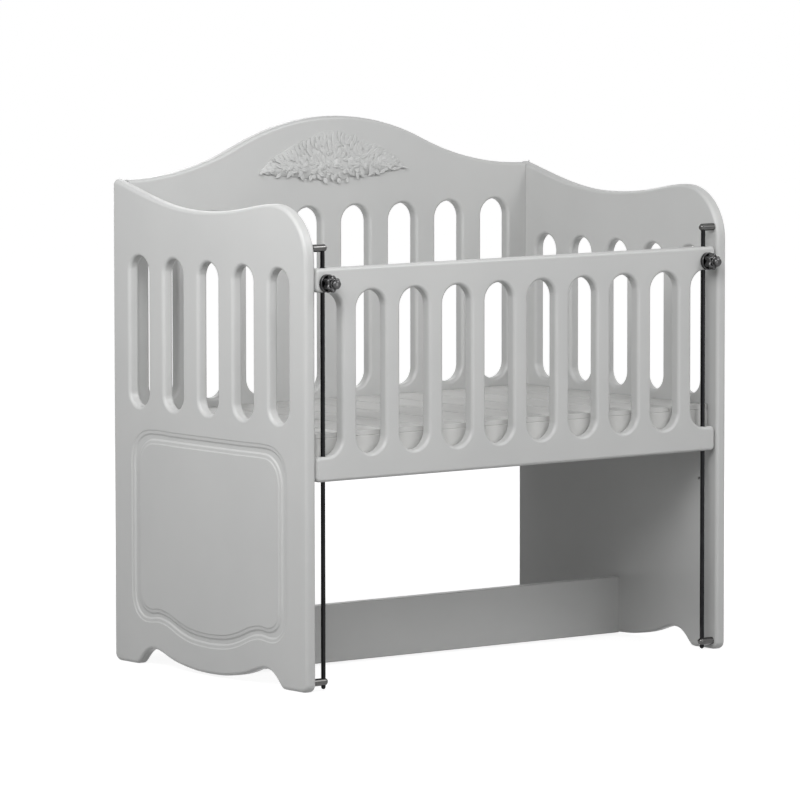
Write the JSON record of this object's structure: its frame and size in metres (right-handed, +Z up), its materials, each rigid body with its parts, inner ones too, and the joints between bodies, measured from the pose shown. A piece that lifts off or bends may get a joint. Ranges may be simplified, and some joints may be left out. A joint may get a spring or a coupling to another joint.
{
  "type": "bedside crib",
  "caption": "White wooden bedside crib with slotted ends and back, arched back with a carved floral spray, slatted base, and a front side that slides down two rods and is held by clamp knobs.",
  "frame": {"origin": "on the floor, under the middle of the whole crib with its clamp knobs", "axes": "+Z up, +X to the right seen from the front, -Y towards the front, where the drop side is"},
  "size_m": [0.954, 0.603, 0.962],
  "materials": {
    "lacquer": "satin white lacquer on board",
    "slat": "matt white paint",
    "chrome": "polished dark nickel",
    "nylon": "moulded",
    "zinc": "zinc plated",
    "beech": "bare"
  },
  "bodies": {
    "frame": {"left_end_panel": "lacquer", "right_end_panel": "lacquer", "back_panel": "lacquer", "carved_spray": "lacquer", "lower_stretcher": "lacquer", "base_front_rail": "slat", "base_back_rail": "slat", "base_left_rail": "slat", "base_right_rail": "slat", "base_slat_01": "slat", "base_slat_02": "slat", "base_slat_03": "slat", "base_slat_04": "slat", "base_slat_05": "slat", "base_slat_06": "slat", "base_slat_07": "slat", "base_slat_08": "slat", "base_slat_09": "slat", "base_slat_10": "slat", "guide_rod_left": "chrome", "guide_rod_right": "chrome", "rod_stud_left_top": "chrome", "rod_stud_left_bottom": "chrome", "rod_stud_right_top": "chrome", "rod_stud_right_bottom": "chrome", "base_bolt_left_front": "zinc", "base_bolt_left_back": "zinc", "base_bolt_right_front": "zinc", "base_bolt_right_back": "zinc", "cam_back_left_upper": "zinc", "cam_back_left_lower": "zinc", "cam_back_right_upper": "zinc", "cam_back_right_lower": "zinc", "cam_stretcher_left": "zinc", "cam_stretcher_right": "zinc", "cam_bolt_back_left_upper": "zinc", "cam_bolt_back_left_lower": "zinc", "cam_bolt_back_right_upper": "zinc", "cam_bolt_back_right_lower": "zinc", "cam_bolt_stretcher_left": "zinc", "cam_bolt_stretcher_right": "zinc", "dowel_back_left_upper": "beech", "dowel_back_left_lower": "beech", "dowel_back_right_upper": "beech", "dowel_back_right_lower": "beech", "dowel_stretcher_left": "beech", "dowel_stretcher_right": "beech"},
    "drop_side": {"drop_side_panel": "lacquer", "rod_sleeve_left_top": "nylon", "rod_sleeve_left_bottom": "nylon", "rod_sleeve_right_top": "nylon", "rod_sleeve_right_bottom": "nylon", "clamp_rosette_left": "chrome", "clamp_rosette_right": "chrome"},
    "left_clamp_pad": {"clamp_pad_left": "nylon"},
    "left_clamp_knob": {"clamp_knob_left": "chrome", "clamp_screw_left": "zinc"},
    "right_clamp_pad": {"clamp_pad_right": "nylon"},
    "right_clamp_knob": {"clamp_knob_right": "chrome", "clamp_screw_right": "zinc"}
  },
  "joints": [
    {"name": "drop_side_slide", "type": "slide", "parent": "frame", "child": "drop_side", "axis": [0, 0, 1], "range_m": [-0.338, 0]},
    {"name": "left_pad_travel", "type": "slide", "parent": "drop_side", "child": "left_clamp_pad", "axis": [0, -1, 0], "range_m": [0, 0.002]},
    {"name": "left_knob_turn", "type": "hinge", "parent": "left_clamp_pad", "child": "left_clamp_knob", "pos_m": [-0.4313, -0.2883, 0.708], "axis": [0, -1, 0], "range_deg": [0, 720]},
    {"name": "right_pad_travel", "type": "slide", "parent": "drop_side", "child": "right_clamp_pad", "axis": [0, -1, 0], "range_m": [0, 0.002]},
    {"name": "right_knob_turn", "type": "hinge", "parent": "right_clamp_pad", "child": "right_clamp_knob", "pos_m": [0.4313, -0.2883, 0.708], "axis": [0, -1, 0], "range_deg": [0, 720]}
  ],
  "couplings": [
    {"joint": "left_pad_travel", "follows": "left_knob_turn", "m_per_rad": 0.00015915},
    {"joint": "right_pad_travel", "follows": "right_knob_turn", "m_per_rad": 0.00015915}
  ]
}
